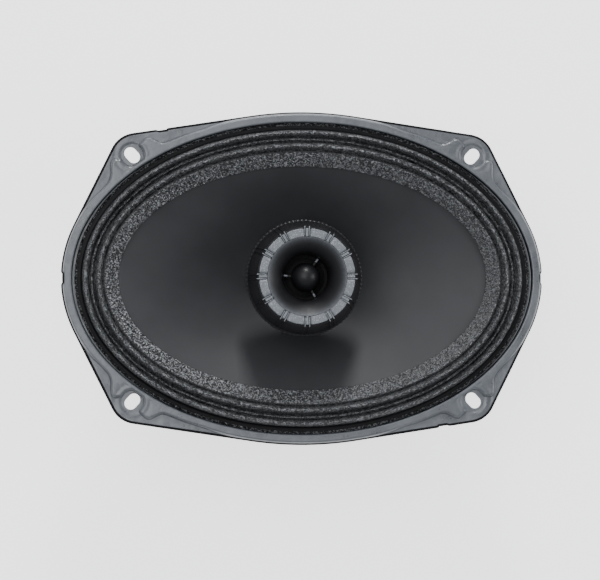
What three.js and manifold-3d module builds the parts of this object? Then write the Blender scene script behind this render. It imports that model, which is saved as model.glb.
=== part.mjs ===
// Coaxial car speaker of the 6x9 inch pattern, built as separate parts.
//
// Millimetres, +Z up. The speaker lies on the back of its magnet and faces up:
// the origin is the centre of the back plate's rear face, +X runs along the long
// axis of the oval, and the terminals are on the -Y side.
import * as THREE from 'three';
import { mergeVertices } from 'three/addons/utils/BufferGeometryUtils.js';
import Module from 'manifold-3d';

const wasm = await Module();
wasm.setup();

// ---- driving dimensions -------------------------------------------------

// Oval pattern: a ring of half-width r has the half-length r + LONG_EXTRA, or
// r + CONE_EXTRA on the cone and its surround.
const LONG_EXTRA = 37.1;
const CONE_EXTRA = 35.8;

// Flange
const RIM_R = 82.5;
const LIP_R = 77.6;
const EAR = { x: 82.5, y: 58.5, r: 13.2 };
const SLOT = { x: 84.5, y: 60.7, length: 8.5, width: 6.1, tilt: THREE.MathUtils.degToRad(47) };
const DIMPLE_R = 6.9;
const SHEET = 1.2;
const MOUNT_Z = 76;
const FLANGE_Z = 79;
const NOTCH = { width: 5.5, depth: 0.8 };

// Magnet stack
const GLUE = 0.2;
const BACK_PLATE = { r: 44, thickness: 6 };
const MAGNET = { r: 50, bore: 21, thickness: 16 };
const TOP_PLATE = { r: 44, bore: 17.1, thickness: 6 };
const POLE_R = 14.3;
const COUNTERBORE = { r: 10, depth: 11.6 };
const WIRE_GROOVE = { width: 5.2, depth: 3.2 };
const SEAT_RIVET = { circle: 36, head: 3.4, shank: 1.9, hole: 2.2, count: 4 };

// Basket
const SEAT_R = { inner: 24, outer: 45.5 };
const SPIDER_SHELF = { inner: 48.5, outer: 57, z: 40.6 };
const BOWL_TOP = { r: 72.6, z: 66 };
const GASKET_SHELF_R = 74;
const WINDOW = { count: 8, halfAngle: THREE.MathUtils.degToRad(15.5), low: 46, high: 62 };

// Cone, coil and suspension
const FORMER = { inner: 15, outer: 15.4, low: 17.6, high: 50 };
const WINDING = { inner: 15.6, outer: 16.3, length: 14 };
const CONE = { neck: 16.6, neckZ: 48.2, edge: 62.6, edgeZ: 79.5, wall: 0.7, bow: 0.25 };
const OVAL_FROM = CONE.neck;
const OVAL_FULL = 54;
const SURROUND = { inner: 55.6, wall: 0.5 };
const SPIDER = { from: 18, to: 48, z: 42.4, wave: 1.3, count: 3, wall: 0.6 };
const TINSEL = { r: 0.7, x: 13 };

// Tweeter
const POST = { r: 5.6, tube: 4.5, bore: 2.6, tail: 6.2, flange: 8.5 };
const CUP = { boss: 14.5, bossZ: 72, base: 28.6, baseZ: 81.2, top: 24.1, topZ: 98, well: 12.7 };
const TRIM = { inner: 19.6, outer: 23.4, low: 98.3, high: 100 };
const HORN = { throat: 11.2, throatZ: 88.3, mouth: 18.9, mouthZ: 99.7, bend: 2.4 };
const PLUG = { r: 7.2, low: 88.2, tip: 96.5, vanes: 3 };
const DOME = { r: 9.6, z: 84.4, height: 2.5 };

// Terminals, on the -Y side
const BRACKET = { half: 9, y: -61.6, root: -52, low: 29 };
const BOARD = { half: 18, back: -61.9, thickness: 2, low: 26, high: 46 };
const BLADE = { x: 13, wide: 6.3, narrow: 4.8, thickness: 0.8, z: 33, reach: 10 };
const CAPACITOR = { r: 4, length: 13, z: 39.5 };
const WIRE_R = 0.6;

// Facets round a circle: the oval parts, the round parts and small parts
const FINE = 40;
const MEDIUM = 28;
const SMALL = 12;

// ---- levels that follow from them ---------------------------------------

const magnetZ = BACK_PLATE.thickness + GLUE;
const topPlateZ = magnetZ + MAGNET.thickness + GLUE;
const seatZ = topPlateZ + TOP_PLATE.thickness + GLUE;
const poleTopZ = seatZ;
const gasketShelfZ = MOUNT_Z - SHEET / 2 - 0.5;
const boardFrontY = BOARD.back - BOARD.thickness;

// ---- solids ---------------------------------------------------------------

// Reads a closed three.js geometry as a solid.
function solid(geometry) {
  const bare = geometry.clone();
  bare.deleteAttribute('normal');
  bare.deleteAttribute('uv');
  const merged = mergeVertices(bare, 1e-4);
  const index = merged.index.array;
  const triangles = [];
  for (let i = 0; i < index.length; i += 3) {
    const [a, b, c] = [index[i], index[i + 1], index[i + 2]];
    if (a !== b && b !== c && c !== a) triangles.push(a, b, c);
  }
  return new wasm.Manifold(new wasm.Mesh({
    numProp: 3,
    vertProperties: new Float32Array(merged.attributes.position.array),
    triVerts: new Uint32Array(triangles),
  }));
}

// Turns a solid back into a geometry.
function geometryOf(body) {
  const mesh = body.getMesh();
  const geometry = new THREE.BufferGeometry();
  geometry.setAttribute('position', new THREE.BufferAttribute(mesh.vertProperties, 3));
  geometry.setIndex(new THREE.BufferAttribute(mesh.triVerts, 1));
  geometry.computeVertexNormals();
  return geometry;
}

// Turns a profile of [radius, z] points about Z. The points run anticlockwise.
function turned(profile, segments) {
  const points = profile.map(([r, z]) => new THREE.Vector2(r, z));
  return new THREE.LatheGeometry(points, segments).rotateX(Math.PI / 2);
}

// The same for a profile that comes back to its first point.
function turnedRing(profile, segments) {
  return turned([...profile, profile[0]], segments);
}

// Stretches a turned geometry along X into the oval: round up to the radius
// `from`, with the whole extra length from the radius `full` outwards.
function oval(geometry, from, full, extra) {
  const position = geometry.attributes.position;
  for (let i = 0; i < position.count; i += 1) {
    const x = position.getX(i);
    const r = Math.hypot(x, position.getY(i));
    const share = THREE.MathUtils.clamp((r - from) / (full - from), 0, 1);
    if (r > 0) position.setX(i, x * (1 + extra * share / r));
  }
  geometry.computeVertexNormals();
  return geometry;
}

// Gives a centre line of [radius, z] points a wall, as an anticlockwise profile.
function walled(line, wall) {
  const sides = [1, -1].map((side) => line.map(([r, z], i) => {
    const before = line[Math.max(i - 1, 0)];
    const after = line[Math.min(i + 1, line.length - 1)];
    const run = new THREE.Vector2(after[0] - before[0], after[1] - before[1]).normalize();
    return [r + side * run.y * wall / 2, z - side * run.x * wall / 2];
  }));
  return [...sides[0], ...sides[1].reverse()];
}

// Extrudes a shape upwards from the level `low` to the level `high`. A full
// circle in it gets `facets` facets.
function plate(shape, low, high, facets = SMALL) {
  const options = { depth: high - low, bevelEnabled: false, curveSegments: facets / 2 };
  return new THREE.ExtrudeGeometry(shape, options).translate(0, 0, low);
}

function cylinder(r, low, high, facets = SMALL) {
  return plate(new THREE.Shape().absarc(0, 0, r, 0, 2 * Math.PI), low, high, facets);
}

function box(low, high) {
  const size = high.map((value, i) => value - low[i]);
  const middle = high.map((value, i) => (value + low[i]) / 2);
  return new THREE.BoxGeometry(...size).translate(...middle);
}

// Sweeps a round wire of radius r along a curve.
function wire(curve, r, steps, sides = 6) {
  const section = new THREE.Shape();
  for (let i = 0; i < sides; i += 1) {
    const angle = 2 * Math.PI * i / sides;
    const [x, y] = [r * Math.cos(angle), r * Math.sin(angle)];
    if (i === 0) section.moveTo(x, y);
    else section.lineTo(x, y);
  }
  return new THREE.ExtrudeGeometry(section, { steps, extrudePath: curve });
}

const repeat = (count, make) => Array.from({ length: count }, (_, i) => make(i));

// ---- the assembly ---------------------------------------------------------

const group = new THREE.Group();

function add(name, geometry, material) {
  const mesh = new THREE.Mesh(geometry, material.clone());
  mesh.name = name;
  group.add(mesh);
  return mesh;
}

const finish = (color, roughness, metalness) =>
  new THREE.MeshStandardMaterial({ color, roughness, metalness });

const FINISH = {
  paintedSteel: finish(0x83878d, 0.45, 0.6),
  blackCloth: finish(0x16161a, 0.8, 0),
  darkCone: finish(0x2e3037, 0.75, 0),
  amberCloth: finish(0x8a6a3a, 0.9, 0),
  platedSteel: finish(0xa9abae, 0.35, 1),
  ferrite: finish(0x2a2a2c, 0.7, 0.1),
  kapton: finish(0x9a5a24, 0.4, 0),
  copper: finish(0xb4622f, 0.35, 1),
  greyPlastic: finish(0xaab0b8, 0.45, 0),
  darkPlastic: finish(0x1d1e21, 0.4, 0),
  glossBlack: finish(0x08080a, 0.15, 0),
  dome: finish(0x141416, 0.5, 0),
  neodymium: finish(0xb8babd, 0.25, 1),
  boardFibre: finish(0x4a3420, 0.8, 0),
  brass: finish(0xc8a860, 0.3, 1),
  capacitorSleeve: finish(0x20252c, 0.4, 0),
  redSleeve: finish(0x8c1f1c, 0.5, 0),
  blackSleeve: finish(0x141416, 0.5, 0),
  tinselBraid: finish(0xb08a5a, 0.5, 0.7),
};

// ---- basket ---------------------------------------------------------------

// The smallest convex outline round a set of points.
function convexOutline(points) {
  const sorted = [...points].sort((p, q) => p.x - q.x || p.y - q.y);
  const half = (list) => {
    const chain = [];
    for (const p of list) {
      while (chain.length > 1) {
        const [a, b] = chain.slice(-2);
        if ((b.x - a.x) * (p.y - a.y) - (b.y - a.y) * (p.x - a.x) > 1e-9) break;
        chain.pop();
      }
      chain.push(p);
    }
    return chain.slice(0, -1);
  };
  return new THREE.Shape([...half(sorted), ...half(sorted.reverse())]);
}

const ellipsePoints = (halfLength, halfWidth, count) => repeat(count, (i) => {
  const angle = 2 * Math.PI * i / count;
  return new THREE.Vector2(halfLength * Math.cos(angle), halfWidth * Math.sin(angle));
});

// The flange outline, set in by a margin: the oval and its four ears.
function flangeOutline(margin) {
  const rim = RIM_R - margin;
  const points = ellipsePoints(rim + LONG_EXTRA, rim, FINE);
  for (const [sx, sy] of [[1, 1], [-1, 1], [-1, -1], [1, -1]]) {
    for (const p of ellipsePoints(EAR.r - margin, EAR.r - margin, MEDIUM)) {
      points.push(new THREE.Vector2(p.x + sx * EAR.x, p.y + sy * EAR.y));
    }
  }
  return convexOutline(points);
}

function ovalPlate(r, low, high) {
  return plate(new THREE.Shape(ellipsePoints(r + LONG_EXTRA, r, FINE)), low, high);
}

function slotCutter(length, width, low, high) {
  const reach = (length - width) / 2;
  const shape = new THREE.Shape();
  shape.absarc(reach, 0, width / 2, -Math.PI / 2, Math.PI / 2);
  shape.absarc(-reach, 0, width / 2, Math.PI / 2, 3 * Math.PI / 2);
  return plate(shape, low, high);
}

// A block bent round the basket's wall, for cutting one window.
function windowCutter(angle) {
  const block = new THREE.BoxGeometry(2, 2, 2, 1, 3, 1);
  const position = block.attributes.position;
  const middleR = (SPIDER_SHELF.outer + BOWL_TOP.r) / 2;
  const middleZ = (WINDOW.low + WINDOW.high) / 2;
  for (let i = 0; i < position.count; i += 1) {
    const r = middleR + position.getX(i) * (BOWL_TOP.r - SPIDER_SHELF.outer) / 2;
    const turn = angle + WINDOW.halfAngle * position.getY(i);
    const z = middleZ + position.getZ(i) * (WINDOW.high - WINDOW.low) / 2;
    position.setXYZ(i, r * Math.cos(turn), r * Math.sin(turn), z);
  }
  return solid(oval(block, SPIDER_SHELF.outer, BOWL_TOP.r, LONG_EXTRA));
}

function basketGeometry() {
  const seatMiddle = seatZ + SHEET / 2;
  const bowl = walled([
    [SEAT_R.inner, seatMiddle],
    [SEAT_R.outer, seatMiddle],
    [SPIDER_SHELF.inner, SPIDER_SHELF.z],
    [SPIDER_SHELF.outer, SPIDER_SHELF.z],
    [BOWL_TOP.r, BOWL_TOP.z],
    [GASKET_SHELF_R, gasketShelfZ],
    [LIP_R + SHEET / 2, gasketShelfZ],
    [LIP_R + SHEET / 2, FLANGE_Z],
  ], SHEET);
  let body = solid(oval(turnedRing(bowl, FINE), SPIDER_SHELF.outer, BOWL_TOP.r, LONG_EXTRA));

  // Flange: a tray with a turned-down edge, open in the middle.
  let flange = solid(plate(flangeOutline(0), MOUNT_Z, FLANGE_Z));
  flange = flange.subtract(solid(plate(flangeOutline(SHEET), MOUNT_Z - 1, FLANGE_Z - SHEET)));
  for (const [sx, sy] of [[1, 1], [-1, 1], [-1, -1], [1, -1]]) {
    const at = [sx * SLOT.x, sy * SLOT.y, 0];
    const wall = cylinder(DIMPLE_R + SHEET, MOUNT_Z, FLANGE_Z, 24).translate(...at);
    const recess = cylinder(DIMPLE_R, MOUNT_Z + SHEET, FLANGE_Z + 1, 24).translate(...at);
    const slot = slotCutter(SLOT.length, SLOT.width, MOUNT_Z - 1, FLANGE_Z);
    slot.rotateZ(sx * sy * SLOT.tilt).translate(...at);
    flange = flange.add(solid(wall)).subtract(solid(recess)).subtract(solid(slot));
  }
  const halfLength = RIM_R + LONG_EXTRA;
  for (const side of [1, -1]) {
    const notch = box([halfLength - NOTCH.depth, -NOTCH.width / 2, MOUNT_Z - 1],
      [halfLength + 2, NOTCH.width / 2, FLANGE_Z + 1]);
    flange = flange.subtract(solid(notch.rotateZ(side > 0 ? 0 : Math.PI)));
  }
  flange = flange.subtract(solid(ovalPlate(LIP_R + SHEET / 2, MOUNT_Z - 1, FLANGE_Z + 1)));
  body = body.add(flange);

  for (let i = 0; i < WINDOW.count; i += 1) {
    body = body.subtract(windowCutter(2 * Math.PI * i / WINDOW.count));
  }
  for (const at of seatRivetPlaces()) {
    const hole = cylinder(SEAT_RIVET.hole, seatZ - 1, seatZ + SHEET + 1).translate(at.x, at.y, 0);
    body = body.subtract(solid(hole));
  }

  // Bracket that hangs from the spider shelf and carries the terminal board.
  const underShelf = SPIDER_SHELF.z - SHEET / 2;
  body = body.add(solid(box([-BRACKET.half, BRACKET.y, underShelf - SHEET],
    [BRACKET.half, BRACKET.root, underShelf + SHEET / 2])));
  body = body.add(solid(box([-BRACKET.half, BRACKET.y, BRACKET.low],
    [BRACKET.half, BRACKET.y + SHEET, underShelf])));
  for (const x of [-BRACKET.half / 2, BRACKET.half / 2]) {
    body = body.subtract(solid(boardHole(x)));
  }
  return geometryOf(body);
}

function seatRivetPlaces() {
  return repeat(SEAT_RIVET.count, (i) => {
    const angle = Math.PI * (0.25 + 0.5 * i);
    return new THREE.Vector2(Math.cos(angle), Math.sin(angle)).multiplyScalar(SEAT_RIVET.circle);
  });
}

// A hole for a board rivet, along Y through the board and its bracket.
function boardHole(x) {
  return cylinder(1.7, -2, 8).rotateX(-Math.PI / 2).translate(x, boardFrontY, BOARD.low + 5);
}

add('basket', basketGeometry(), FINISH.paintedSteel);

// ---- magnet stack -----------------------------------------------------------

function backPlateGeometry() {
  const edge = 1;
  const body = solid(turnedRing([
    [COUNTERBORE.r, 0],
    [BACK_PLATE.r - edge, 0],
    [BACK_PLATE.r, edge],
    [BACK_PLATE.r, BACK_PLATE.thickness],
    [POLE_R, BACK_PLATE.thickness],
    [POLE_R, poleTopZ - edge],
    [POLE_R - edge, poleTopZ],
    [POST.tube + 0.3, poleTopZ],
    [POST.tube + 0.3, COUNTERBORE.depth],
    [COUNTERBORE.r, COUNTERBORE.depth],
  ], MEDIUM));
  const groove = box([-WIRE_GROOVE.width / 2, -BACK_PLATE.r - 1, -1],
    [WIRE_GROOVE.width / 2, -COUNTERBORE.r + 1, WIRE_GROOVE.depth]);
  return geometryOf(body.subtract(solid(groove)));
}

function topPlateGeometry() {
  const top = topPlateZ + TOP_PLATE.thickness;
  let body = solid(turnedRing([
    [TOP_PLATE.bore, topPlateZ],
    [TOP_PLATE.r, topPlateZ],
    [TOP_PLATE.r, top],
    [TOP_PLATE.bore, top],
  ], MEDIUM));
  for (const at of seatRivetPlaces()) {
    const hole = cylinder(SEAT_RIVET.hole, topPlateZ - 1, top + 1).translate(at.x, at.y, 0);
    body = body.subtract(solid(hole));
  }
  return geometryOf(body);
}

function magnetGeometry() {
  const edge = 1.2;
  const top = magnetZ + MAGNET.thickness;
  return turnedRing([
    [MAGNET.bore, magnetZ],
    [MAGNET.r - edge, magnetZ],
    [MAGNET.r, magnetZ + edge],
    [MAGNET.r, top - edge],
    [MAGNET.r - edge, top],
    [MAGNET.bore, top],
  ], MEDIUM);
}

add('back_plate_with_pole', backPlateGeometry(), FINISH.platedSteel);
add('ferrite_magnet', magnetGeometry(), FINISH.ferrite);
add('top_plate', topPlateGeometry(), FINISH.platedSteel);

seatRivetPlaces().forEach((at, i) => {
  const under = seatZ + SHEET + GLUE;
  const rivet = turned([
    [0, topPlateZ + 0.4],
    [SEAT_RIVET.shank, topPlateZ + 0.4],
    [SEAT_RIVET.shank, under],
    [SEAT_RIVET.head, under],
    [SEAT_RIVET.head, under + 0.7],
    [SEAT_RIVET.head * 0.6, under + 1.6],
    [0, under + 1.9],
  ], SMALL);
  add(`basket_rivet_${i + 1}`, rivet, FINISH.platedSteel).position.set(at.x, at.y, 0);
});

// ---- voice coil, cone and suspension ------------------------------------------

function tube(inner, outer, low, high, segments = MEDIUM) {
  return turnedRing([[inner, low], [outer, low], [outer, high], [inner, high]], segments);
}

// Height of the cone's middle surface at the radius r of the short axis.
function coneHeight(r) {
  const share = (r - CONE.neck) / (CONE.edge - CONE.neck);
  const rise = share * (1 + CONE.bow) - CONE.bow * share * share;
  return CONE.neckZ + (CONE.edgeZ - CONE.neckZ) * rise;
}

const spread = (from, to, count) => repeat(count + 1, (i) => from + (to - from) * i / count);

function coneGeometry() {
  const line = [[CONE.neck - 0.5, CONE.neckZ - 2.4]];
  for (const r of spread(CONE.neck, CONE.edge, 5)) line.push([r, coneHeight(r)]);
  return oval(turnedRing(walled(line, CONE.wall), FINE), OVAL_FROM, OVAL_FULL, CONE_EXTRA);
}

// Two pleats between a foot that is glued over the cone's edge and a foot that
// is glued to the basket's shelf.
function surroundGeometry() {
  const lift = (CONE.wall + SURROUND.wall) / 2 + GLUE + 0.15;
  const line = spread(SURROUND.inner, CONE.edge - 0.4, 1).map((r) => [r, coneHeight(r) + lift]);
  const footZ = gasketShelfZ + SHEET / 2 + GLUE + SURROUND.wall / 2;
  line.push(
    [63.2, 79.5],
    [64.4, 81.4],
    [66.2, 81.4],
    [67.6, 77.2],
    [68.8, 78.7],
    [69.9, 77.2],
    [70.9, 81.2],
    [72.6, 81.2],
    [74.2, footZ + 0.6],
    [LIP_R - 0.4, footZ],
  );
  return oval(turnedRing(walled(line, SURROUND.wall), FINE), OVAL_FROM, OVAL_FULL, CONE_EXTRA);
}

function spiderGeometry() {
  const collar = FORMER.outer + 0.3 + SPIDER.wall / 2;
  const line = [[collar, SPIDER.z + 1.8], [collar, SPIDER.z], [SPIDER.from, SPIDER.z]];
  const quarters = 4 * SPIDER.count;
  for (let i = 1; i < quarters; i += 2) {
    const side = i % 4 === 1 ? 1 : -1;
    const r = SPIDER.from + (SPIDER.to - SPIDER.from) * i / quarters;
    line.push([r, SPIDER.z + side * SPIDER.wave]);
  }
  const footZ = SPIDER_SHELF.z + (SHEET + SPIDER.wall) / 2 + GLUE;
  line.push([SPIDER_SHELF.inner + 1, footZ], [SPIDER_SHELF.outer - 1.5, footZ]);
  return turnedRing(walled(line, SPIDER.wall), MEDIUM);
}

add('voice_coil_former', tube(FORMER.inner, FORMER.outer, FORMER.low, FORMER.high), FINISH.kapton);
const coilLow = topPlateZ + (TOP_PLATE.thickness - WINDING.length) / 2;
add('voice_coil_winding', tube(WINDING.inner, WINDING.outer, coilLow, coilLow + WINDING.length),
  FINISH.copper);
add('cone', coneGeometry(), FINISH.darkCone);
add('surround', surroundGeometry(), FINISH.blackCloth);
add('spider', spiderGeometry(), FINISH.amberCloth);

// Tinsel leads from the former, under the cone and out through a window.
for (const [name, side] of [['positive', 1], ['negative', -1]]) {
  const route = new THREE.CatmullRomCurve3([
    [side * 8.5, -15.2, 46.0],
    [side * 10, -22, 46.6],
    [side * 11.5, -33, 50.5],
    [side * 12.6, -45, 51.5],
    [side * TINSEL.x, -55, 49.4],
    [side * TINSEL.x, boardFrontY + 0.1, 48.8],
  ].map((p) => new THREE.Vector3(...p)));
  add(`tinsel_lead_${name}`, wire(route, TINSEL.r, 20), FINISH.tinselBraid);
}

// ---- tweeter -------------------------------------------------------------------

function postGeometry() {
  return turnedRing([
    [POST.bore, POST.tail],
    [POST.tube, POST.tail],
    [POST.tube, poleTopZ + GLUE],
    [POST.flange, poleTopZ + GLUE],
    [POST.flange, poleTopZ + 2.2],
    [POST.r, poleTopZ + 4],
    [POST.r, CUP.bossZ - 4],
    [POST.flange, CUP.bossZ - 2.4],
    [POST.flange, CUP.bossZ - GLUE],
    [POST.tube, CUP.bossZ - GLUE],
    [POST.tube, CUP.bossZ + 1.8],
    [POST.bore, CUP.bossZ + 1.8],
  ], 24);
}

function cupGeometry() {
  return turnedRing([
    [POST.tube + 0.3, CUP.bossZ],
    [CUP.boss, CUP.bossZ],
    [CUP.base - 1.4, CUP.baseZ - 1.4],
    [CUP.base, CUP.baseZ],
    [CUP.base, CUP.baseZ + 1.2],
    [CUP.top, CUP.topZ],
    [CUP.top - 1.6, CUP.topZ],
    [CUP.base - 2.2, CUP.baseZ + 3.4],
    [16, CUP.baseZ + 2],
    [CUP.well, CUP.baseZ + 2],
    [CUP.well, CUP.bossZ + 2],
    [POST.tube + 0.3, CUP.bossZ + 2],
  ], MEDIUM);
}

function trimRingGeometry() {
  const edge = 0.4;
  return turnedRing([
    [TRIM.inner, TRIM.low],
    [TRIM.outer, TRIM.low],
    [TRIM.outer, TRIM.high - edge],
    [TRIM.outer - edge, TRIM.high],
    [TRIM.inner + edge, TRIM.high],
    [TRIM.inner, TRIM.high - edge],
  ], MEDIUM);
}

function hornGeometry() {
  const flare = spread(1, 0, 5).map((share) => [
    HORN.throat + (HORN.mouth - HORN.throat) * share ** HORN.bend,
    HORN.throatZ + (HORN.mouthZ - HORN.throatZ) * share,
  ]);
  return turnedRing([
    [HORN.throat + 3.2, HORN.throatZ],
    [HORN.throat + 4, HORN.throatZ + 1.7],
    [HORN.throat + 5.2, HORN.throatZ + 6.7],
    [TRIM.inner + 0.7, CUP.topZ - 1.4],
    [CUP.top - 2, CUP.topZ - 1.4],
    [CUP.top - 2, CUP.topZ],
    [TRIM.inner - 0.3, CUP.topZ],
    [TRIM.inner - 0.3, HORN.mouthZ],
    ...flare,
  ], MEDIUM);
}

function phasePlugGeometry() {
  const nose = spread(0, Math.PI / 2, 6).map((turn) => [
    PLUG.r * Math.cos(turn),
    PLUG.low + (PLUG.tip - PLUG.low) * Math.sin(turn),
  ]);
  nose[nose.length - 1][0] = 0;
  let body = solid(turned([[0, PLUG.low], ...nose], 24));
  body = body.add(solid(tube(CUP.well - 0.4, CUP.well + 2.1, CUP.baseZ + 2.9, PLUG.low - 0.2)));
  for (let i = 0; i < PLUG.vanes; i += 1) {
    const vane = box([PLUG.r - 1.6, -0.5, PLUG.low - 1.3], [CUP.well + 0.2, 0.5, PLUG.low - 0.3])
      .rotateZ(Math.PI + 2 * Math.PI * i / PLUG.vanes);
    const root = box([PLUG.r - 1.6, -0.5, PLUG.low - 1.3], [HORN.throat - 0.4, 0.5, PLUG.low + 1.2])
      .rotateZ(Math.PI + 2 * Math.PI * i / PLUG.vanes);
    body = body.add(solid(vane)).add(solid(root));
  }
  return geometryOf(body);
}

function domeGeometry() {
  const line = spread(0, 1, 3).map((share) => [
    DOME.r * share,
    DOME.z + DOME.height * (1 - share * share),
  ]);
  line.push(
    [DOME.r + 0.8, DOME.z - 0.1],
    [DOME.r + 1.5, DOME.z + 0.3],
    [DOME.r + 2.2, DOME.z - 0.6],
    [DOME.r + 4.6, DOME.z - 0.6],
  );
  const profile = walled(line, 0.3);
  const ends = [0, profile.length - 1];
  for (const i of ends) profile[i][0] = 0;
  return turned(profile, 24);
}

const TWEETER_STACK = { floor: CUP.bossZ + 2.3, r: 12.4, gap: 10.4 };
const yokeTop = CUP.baseZ + 1.2;
const tweeterMagnetZ = TWEETER_STACK.floor + 2.2 + GLUE;
const tweeterPlateZ = tweeterMagnetZ + 3.2 + GLUE;

add('tweeter_post', postGeometry(), FINISH.darkPlastic);
add('tweeter_cup', cupGeometry(), FINISH.darkPlastic);
add('tweeter_horn', hornGeometry(), FINISH.darkPlastic);
add('tweeter_trim_ring', trimRingGeometry(), FINISH.greyPlastic);
add('phase_plug', phasePlugGeometry(), FINISH.glossBlack);
add('tweeter_yoke', turned([
  [0, TWEETER_STACK.floor],
  [TWEETER_STACK.r, TWEETER_STACK.floor],
  [TWEETER_STACK.r, yokeTop],
  [TWEETER_STACK.gap, yokeTop],
  [TWEETER_STACK.gap, TWEETER_STACK.floor + 2.2],
  [0, TWEETER_STACK.floor + 2.2],
], 24), FINISH.platedSteel);
add('tweeter_magnet', cylinder(8.4, tweeterMagnetZ, tweeterMagnetZ + 3.2, 24),
  FINISH.neodymium);
add('tweeter_top_plate', cylinder(9, tweeterPlateZ, tweeterPlateZ + 2, 24),
  FINISH.platedSteel);
add('tweeter_voice_coil', tube(9.3, 9.9, 79.8, DOME.z - 0.5, 24), FINISH.copper);
add('tweeter_diaphragm', domeGeometry(), FINISH.dome);

// Washer and nut that clamp the post from behind, in the pole's counterbore.
add('post_washer', tube(POST.tube + 0.3, 9, COUNTERBORE.depth - 1, COUNTERBORE.depth - 0.2, 24),
  FINISH.platedSteel);

function nutGeometry(low, high) {
  const hex = new THREE.Shape(ellipsePoints(7.5, 7.5, 6));
  hex.holes.push(new THREE.Path().absarc(0, 0, POST.tube + 0.2, 0, 2 * Math.PI, true));
  return plate(hex, low, high, SMALL);
}

add('post_nut', nutGeometry(COUNTERBORE.depth - 4.4, COUNTERBORE.depth - 1.2), FINISH.platedSteel);

// Tweeter leads: down inside the post, along the groove in the back plate, up
// beside the magnet and to the inner face of the terminal board.
for (const [name, side] of [['positive', 1], ['negative', -1]]) {
  const inPost = side * 1.15;
  const corner = (from, middle, to) => new THREE.QuadraticBezierCurve3(
    new THREE.Vector3(...from), new THREE.Vector3(...middle), new THREE.Vector3(...to));
  const straight = (from, to) => new THREE.LineCurve3(
    new THREE.Vector3(...from), new THREE.Vector3(...to));
  const grooveZ = WIRE_GROOVE.depth / 2;
  const outsideY = -MAGNET.r - 2;
  const route = new THREE.CurvePath();
  route.add(straight([inPost, 0, CUP.bossZ + 1.4], [inPost, 0, 5.6]));
  route.add(corner([inPost, 0, 5.6], [inPost, 0, grooveZ], [inPost, -4, grooveZ]));
  route.add(straight([inPost, -4, grooveZ], [inPost, outsideY + 4.5, grooveZ]));
  route.add(corner([inPost, outsideY + 4.5, grooveZ], [inPost, outsideY, grooveZ],
    [inPost, outsideY, 6.5]));
  route.add(straight([inPost, outsideY, 6.5], [inPost, outsideY, 17]));
  route.add(corner([inPost, outsideY, 17], [inPost, outsideY, 24],
    [side * 7, outsideY - 1.8, 26.5]));
  route.add(corner([side * 7, outsideY - 1.8, 26.5], [side * 12, outsideY - 3.4, 28.6],
    [side * 12.6, BOARD.back + 0.5, 29]));
  add(`tweeter_lead_${name}`, wire(route, WIRE_R, 44),
    side > 0 ? FINISH.redSleeve : FINISH.blackSleeve);
}

// ---- terminals ---------------------------------------------------------------------

function boardGeometry() {
  let body = solid(box([-BOARD.half, boardFrontY, BOARD.low],
    [BOARD.half, BOARD.back, BOARD.high]));
  for (const x of [-BRACKET.half / 2, BRACKET.half / 2]) {
    body = body.subtract(solid(boardHole(x)));
  }
  return geometryOf(body);
}

// A strip that stands on the board's face, with a blade bent outwards.
function terminalGeometry(width) {
  const face = boardFrontY - GLUE;
  const outer = face - BLADE.thickness;
  const tip = outer - BLADE.reach;
  const side = new THREE.Shape([
    [face, BLADE.z],
    [face, 51],
    [outer, 51],
    [outer, BLADE.z + BLADE.thickness],
    [tip + 1, BLADE.z + BLADE.thickness],
    [tip, BLADE.z + BLADE.thickness * 0.75],
    [tip, BLADE.z + BLADE.thickness * 0.25],
    [tip + 1, BLADE.z],
  ].map(([y, z]) => new THREE.Vector2(y, z)));
  const strip = new THREE.ExtrudeGeometry(side, { depth: width, bevelEnabled: false });
  return strip.translate(0, 0, -width / 2)
    .applyMatrix4(new THREE.Matrix4().set(0, 0, 1, 0, 1, 0, 0, 0, 0, 1, 0, 0, 0, 0, 0, 1));
}

add('terminal_board', boardGeometry(), FINISH.boardFibre);
add('terminal_positive', terminalGeometry(BLADE.wide), FINISH.brass).position.x = BLADE.x;
add('terminal_negative', terminalGeometry(BLADE.narrow), FINISH.brass).position.x = -BLADE.x;

[-1, 1].forEach((side, i) => {
  const front = boardFrontY - GLUE;
  const inside = BRACKET.y + SHEET + GLUE;
  const length = inside - front;
  const rivet = turned([
    [0, -1.4],
    [1.8, -1.2],
    [2.6, -0.6],
    [2.6, 0],
    [1.4, 0],
    [1.4, length],
    [2.2, length],
    [2.2, length + 0.6],
    [1.4, length + 1.1],
    [0, length + 1.1],
  ], SMALL).rotateX(-Math.PI / 2);
  add(`board_rivet_${i + 1}`, rivet, FINISH.platedSteel)
    .position.set(side * BRACKET.half / 2, front, BOARD.low + 5);
});

function capacitorGeometry() {
  const half = CAPACITOR.length / 2;
  return turned([
    [0, -half],
    [CAPACITOR.r - 0.5, -half],
    [CAPACITOR.r, -half + 0.5],
    [CAPACITOR.r, half - 0.5],
    [CAPACITOR.r - 0.5, half],
    [0, half],
  ], 24).rotateY(Math.PI / 2);
}

const capacitorY = boardFrontY - GLUE - CAPACITOR.r;
add('crossover_capacitor', capacitorGeometry(), FINISH.capacitorSleeve)
  .position.set(0, capacitorY, CAPACITOR.z);

[-1, 1].forEach((side, i) => {
  const start = side * (CAPACITOR.length / 2 + GLUE);
  const leg = new THREE.QuadraticBezierCurve3(
    new THREE.Vector3(start, capacitorY, CAPACITOR.z),
    new THREE.Vector3(start + side * 2, capacitorY, CAPACITOR.z),
    new THREE.Vector3(start + side * 2, boardFrontY - 0.3, CAPACITOR.z));
  add(`capacitor_leg_${i + 1}`, wire(leg, 0.35, 8), FINISH.platedSteel);
});

export default group;
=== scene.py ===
# Coaxial car speaker of the 6x9 inch pattern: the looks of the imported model.
#
# Lengths below are in millimetres, in the frame of the CAD model; they become
# metres when a mesh is made.
import math

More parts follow.
